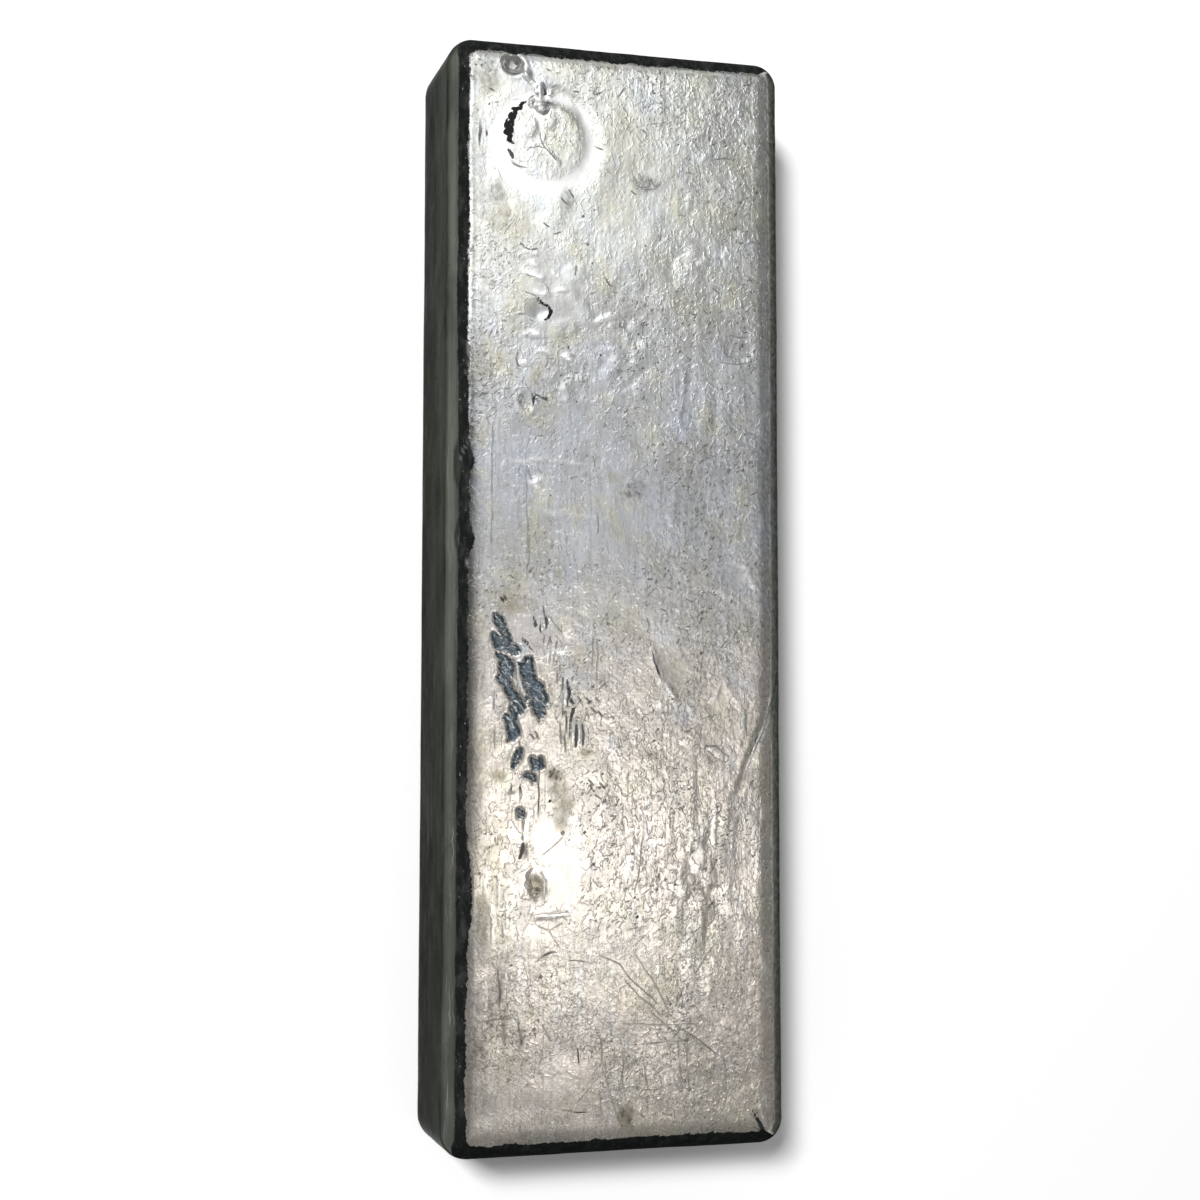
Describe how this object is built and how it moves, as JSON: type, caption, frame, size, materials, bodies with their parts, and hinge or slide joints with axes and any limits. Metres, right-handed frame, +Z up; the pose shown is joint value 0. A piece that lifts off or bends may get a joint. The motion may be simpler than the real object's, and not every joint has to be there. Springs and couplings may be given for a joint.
{
  "type": "metal ingot",
  "caption": "Poured bar of silver with drafted walls, a rounded mould face with a ring mark and blowholes, and a dished resting face.",
  "frame": {"origin": "centre of the resting face, at the level of its rim", "axes": "+X across the bar, +Y along it towards the end with the ring mark, +Z up from the resting face to the mould face"},
  "size_m": [0.0612, 0.1908, 0.0265],
  "materials": {
    "cast_silver": "as cast, bright and rough on the mould face, dark with tarnish on the walls and edges"
  },
  "bodies": {
    "root": {"ingot": "cast_silver"}
  },
  "joints": []
}
